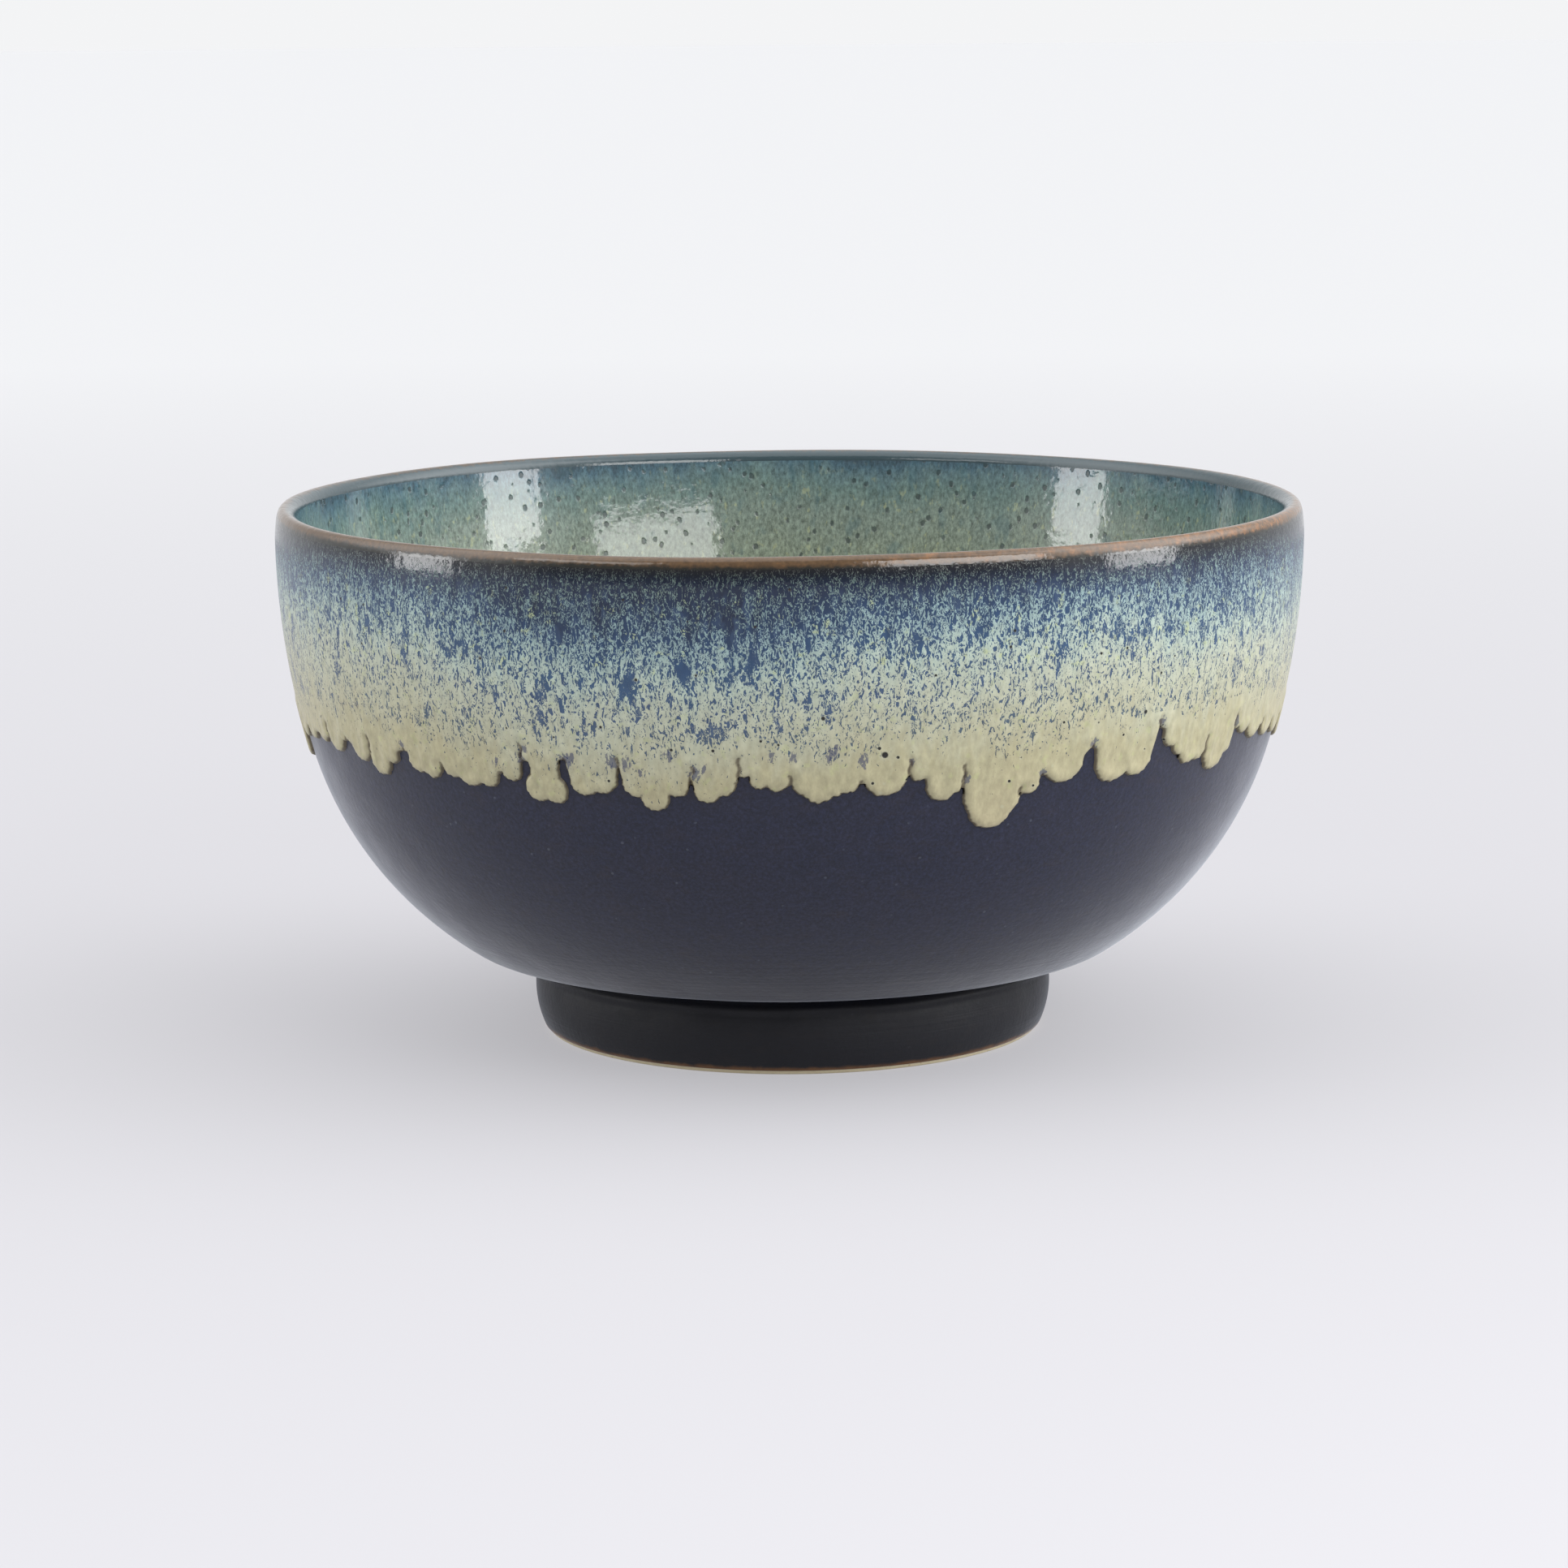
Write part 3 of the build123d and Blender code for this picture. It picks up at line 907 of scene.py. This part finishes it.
def dark_glaze():
    """Satin blue-black, with fine specks, faint turning marks, a brown end on the foot and painted
    shade that darkens the lower wall and the foot.
    """
    g = Glaze("dark_satin_glaze", roughness=0.34, ior=1.41)
    g.fill(g.shader, {"Sheen Weight": 0.42, "Sheen Roughness": 0.3,
                      "Sheen Tint": (0.85, 0.9, 1.0, 1)})
    broad = g.noise(g.point, 0.22, 4.0, 0.6)
    grain = g.noise(g.point, 2.6, 3.0, 0.7)
    on_foot = g.step(g.z, 10.2, 8.0)
    tint = g.mottled(g.mix(broad, colour(20, 26, 46), colour(32, 33, 49)), grain, 0.55, 1.6)
    # Painted shade: the lower wall is darkened towards the foot, where it faces down under the
    # bowl's belly.
    tint = g.mix(g.step(g.z, 22.0, 10.0, 0.0, 0.45), tint, colour(10, 11, 15))
    speck = g.times(g.step(g.cells(g.point, 1.7), 0.14, 0.06),
                    g.step(g.noise(g.point, 0.5, 2.0), 0.5, 0.6), 0.5)
    tint = g.mix(speck, tint, colour(78, 84, 96))
    warm = g.times(g.step(g.noise(g.stretch(1.0, 2.0), 0.35, 3.0), 0.5, 0.75),
                   g.math("MULTIPLY_ADD", on_foot, 0.25, 0.12))
    tint = g.mix(warm, tint, colour(52, 40, 32))
    # Painted shade: the foot, in the shade under the bowl, is tinted near black.
    tint = g.mix(g.times(on_foot, 0.86), tint, colour(3, 4, 11))
    low = g.math("MULTIPLY_ADD", g.noise(g.point, 0.6, 3.0), 0.7, g.z)
    tint = g.mix(g.step(low, dark_end + 0.95, dark_end + 0.35), tint, colour(92, 62, 34))
    rings = g.noise(g.stretch(0.03, 2.2), 1.0, 3.0, 0.6)
    normal = g.bump(g.times(rings, g.step(g.z, 20.0, 10.0, 0.2, 1.0)), 0.05)
    normal = g.bump(g.noise(g.point, 1.2, 3.0), 0.03, normal)
    normal = g.bump(grain, 0.016, normal)
    rough = g.math("MULTIPLY_ADD", on_foot, 0.26, g.step(broad, 0.3, 0.7, 0.31, 0.40))
    return g.output(tint, rough, normal)


# Height inside against tint, from the floor to the lip.
liner_tints = [
    (9.0, colour(70, 101, 93)), (16.0, colour(101, 118, 95)), (34.0, colour(121, 127, 102)),
    (46.0, colour(119, 127, 106)), (52.0, colour(117, 127, 112)), (57.0, colour(110, 123, 114)),
    (60.5, colour(94, 114, 110)), (62.8, colour(83, 105, 110)), (64.0, colour(66, 90, 102)),
    (65.2, colour(54, 70, 80)),
]


def liner_glaze():
    """Glossy celadon green, teal near the lip, with runs, cream flecks and dark spots."""
    g = Glaze("green_liner_glaze", roughness=0.08, ior=1.5)
    runs = g.noise(g.stretch(1.0, 0.2, 3.0), 0.55, 3.0, 0.6)
    slow = g.noise(g.stretch(1.0, 0.5, 7.0), 0.11, 2.0)
    grain = g.noise(g.stretch(1.0, 0.55), 2.3, 4.0, 0.72)
    level = g.push(g.push(g.z, runs, 4.0), slow, 6.0)
    tint = g.mottled(g.ramp(level, 8.0, 66.0, liner_tints), grain, 0.45, 1.6, 0.9)
    fleck = g.times(g.step(g.noise(g.stretch(1.0, 0.55, 5.0), 1.25, 3.0, 0.6), 0.58, 0.72),
                    g.step(g.z, 64.0, 58.0, 0.1, 0.5))
    tint = g.mix(fleck, tint, colour(164, 168, 126))
    spot = g.step(g.push(g.cells(g.stretch(1.0, 0.8), 1.7), grain, 0.25), 0.24, 0.14)
    tint = g.mix(g.times(spot, 0.7), tint, colour(24, 38, 40))
    blue = g.step(g.noise(g.stretch(1.0, 0.5, 13.0), 0.5, 2.0), 0.56, 0.7)
    tint = g.mix(g.times(blue, 0.3), tint, colour(48, 84, 96))
    normal = g.bump(g.noise(g.point, 0.35, 2.0), 0.05)
    normal = g.bump(g.noise(g.point, 1.5, 2.0), 0.012, normal)
    normal = g.bump(spot, -0.03, normal)
    return g.output(tint, g.step(spot, 0.0, 1.0, 0.08, 0.3), normal)


def bare_clay():
    """Buff clay with brown dots, left bare under the foot."""
    g = Glaze("bare_clay", roughness=0.85, ior=1.4)
    grain = g.noise(g.point, 1.5, 4.0, 0.7)
    tint = g.mix(grain, colour(172, 160, 130), colour(200, 190, 162))
    dots = g.step(g.cells(g.point, 1.6), 0.12, 0.06)
    tint = g.mix(g.times(dots, 0.6), tint, colour(150, 122, 92))
    return g.output(tint, g.step(grain, 0.3, 0.7, 0.78, 0.92), g.bump(grain, 0.06))


def body_clay():
    """Pale clay of the wall, under the glazes."""
    g = Glaze("stoneware", roughness=0.85, ior=1.4)
    grain = g.noise(g.point, 1.1, 4.0, 0.7)
    tint = g.mix(grain, colour(196, 182, 158), colour(222, 212, 192))
    return g.output(tint, g.step(grain, 0.3, 0.7, 0.78, 0.92), g.bump(grain, 0.06))


def well_glaze():
    """Dark glaze inside the foot ring, browner near its edge."""
    g = Glaze("foot_well_glaze", roughness=0.4, ior=1.45)
    broad = g.noise(g.point, 0.3, 4.0, 0.6)
    tint = g.mix(broad, colour(16, 18, 26), colour(34, 32, 34))
    low = g.math("MULTIPLY_ADD", g.noise(g.point, 0.6, 3.0), 0.7, g.z)
    tint = g.mix(g.step(low, well_coat_end + 1.4, well_coat_end + 0.4), tint, colour(104, 72, 40))
    normal = g.bump(g.noise(g.stretch(1.0, 1.0), 0.9, 3.0), 0.06)
    return g.output(tint, g.step(broad, 0.3, 0.7, 0.36, 0.5), normal)


# ---- build the bowl -----------------------------------------------------------------------
# Turned pieces: name, outline, columns, relief, CAD node, material slot, material.
turned_pieces = [
    ("dark_base_coat", dark_coat_outline, 396, crease_relief, "outer_dark_glaze",
     "dark_satin_glaze", dark_glaze),
    ("iron_rim_band", rim_outline, 720, None, "rim_iron_band", "iron_brown_glaze", rim_glaze),
    ("green_liner", liner_outline, 480, None, "inner_glaze", "green_liner_glaze", liner_glaze),
    ("stoneware_body", body_outline, 240, None, "bowl_body", "stoneware", body_clay),
    ("clay_foot", foot_outline, 360, None, "foot_ring", "bare_clay", bare_clay),
    ("foot_well_coat", well_outline, 240, None, "foot_well_glaze", "well_glaze", well_glaze),
]

points, faces, values = drip_mesh()
make_piece("drip_glaze_coat", points, faces, "outer_drip_glaze", drip_glaze(),
           sharp=80.0, values=values)
for name, outline, columns, relief, node, slot, material in turned_pieces:
    points, faces = lathe(outline(), columns, relief)
    make_piece(name, points, faces, node, material())


# ---- studio -------------------------------------------------------------------------------
camera_place = Vector((0.0, -0.5628, 0.1253))
camera_pitch = 9.627
camera_roll = -0.434
camera_lens = 105.54
camera_shift = -0.0046
floor_radius = 14.0
floor_colours = ((0.212, 0.210, 0.220, 1), (0.253, 0.255, 0.260, 1))  # near and far
floor_fade = (0.15, 1.1)
floor_glow = 1.76
horizon_colour = (0.90, 0.905, 0.915, 1)
zenith_colour = (1.9, 1.9, 1.92, 1)
sky_tint = (0.985, 0.99, 1.0)
# Brightness of the surround from the front (0) over the sides (0.5) to the back (1).
sky_levels = [(0.0, 0.40), (0.22, 0.60), (0.40, 3.5), (0.6, 3.5), (0.85, 0.95), (1.0, 0.9)]
sky_lean = 0.25  # the right gains this and the left loses it
panel_distance = 0.45
panel_level = 0.060
# Name, azimuths from the front, elevations, brightness.
panels = [
    ("right_box", (69, 86), (-0.5, 11), 8.5),
    ("left_box", (-89, -73.5), (-0.5, 11), 7.5),
    ("front_right_box", (19, 55), (11, 33), 6.2),
    ("front_left_box", (-62, -30), (24, 36), 3),
]


def floor():
    """Plain pale table top, far wider than the view and paler in the distance.

    It glows a little, which keeps the shadow under the bowl light.
    """
    bpy.ops.mesh.primitive_circle_add(vertices=96, radius=floor_radius, fill_type="NGON")
    table = bpy.context.object
    table.name = "studio_floor"
    material = bpy.data.materials.new("studio_floor")
    material.use_nodes = True
    nodes = Nodes(material.node_tree)
    centre = nodes.add("ShaderNodeTexCoord").outputs["Object"]
    away = nodes.add("ShaderNodeVectorMath", centre, operation="LENGTH").outputs["Value"]
    shade = nodes.mix(nodes.fade(away, *floor_fade), *floor_colours)
    nodes.fill(nodes.tree.nodes["Principled BSDF"], {
        "Base Color": shade, "Emission Color": shade, "Emission Strength": floor_glow,
        "Roughness": 0.8, "Specular IOR Level": 0.0})
    table.data.materials.append(material)


def sky():
    """Soft surround: white level with the table, bright at the sides and overhead, dim in front."""
    world = bpy.data.worlds.new("studio")
    world.use_nodes = True
    nodes = Nodes(world.node_tree)
    direction = nodes.add("ShaderNodeTexCoord").outputs["Generated"]
    across, depth, height = nodes.add("ShaderNodeSeparateXYZ", direction).outputs
    stops = [(at, tuple(level * part for part in sky_tint) + (1,)) for at, level in sky_levels]
    around = nodes.ramp(nodes.math("MULTIPLY_ADD", depth, 0.5, 0.5), 0.0, 1.0, stops)
    lean = nodes.math("MULTIPLY_ADD", across, sky_lean, 1.0)
    upper = nodes.math("MAXIMUM", nodes.fade(height, 0.10, 0.30), nodes.fade(depth, -0.25, -0.65))
    surround = nodes.mix(upper, horizon_colour, nodes.scaled(around, lean))
    surround = nodes.mix(nodes.fade(height, 0.75, 0.9), surround, zenith_colour)
    nodes.fill(nodes.tree.nodes["Background"], {"Color": surround})
    bpy.context.scene.world = world


def softbox(name, azimuths, elevations, radiance):
    """Evenly lit panel that fills these angles (degrees) as seen from just below the lip."""
    a, e = (radians(sum(pair) / 2) for pair in (azimuths, elevations))
    target = Vector((0, 0, panel_level))
    direction = Vector((sin(a) * cos(e), -cos(a) * cos(e), sin(e)))
    width, height = (2 * panel_distance * tan(radians(pair[1] - pair[0]) / 2)
                     for pair in (azimuths, elevations))
    light = bpy.data.lights.new(name, "AREA")
    light.shape = "RECTANGLE"
    light.size, light.size_y = width * cos(e), height
    light.energy = radiance * pi * light.size * light.size_y
    panel = bpy.data.objects.new(name, light)
    panel.location = target + direction * panel_distance
    panel.rotation_euler = (-direction).to_track_quat("-Z", "Y").to_euler()
    panel.visible_camera = False
    bpy.context.scene.collection.objects.link(panel)


def camera():
    """Long lens a little above the lip, looking slightly down, with a trace of roll."""
    data = bpy.data.cameras.new("camera")
    data.lens = camera_lens
    data.sensor_width = 36.0
    data.shift_x = camera_shift
    data.clip_end = 100
    eye = bpy.data.objects.new("camera", data)
    tilt = Matrix.Rotation(radians(90 - camera_pitch), 4, "X")
    eye.matrix_world = (Matrix.Translation(camera_place) @ tilt
                        @ Matrix.Rotation(radians(camera_roll), 4, "Z"))
    bpy.context.scene.collection.objects.link(eye)
    bpy.context.scene.camera = eye


floor()
sky()
for panel in panels:
    softbox(*panel)
camera()
view = bpy.context.scene.view_settings
view.view_transform = "Standard"
view.look = "None"
view.exposure = 0.0
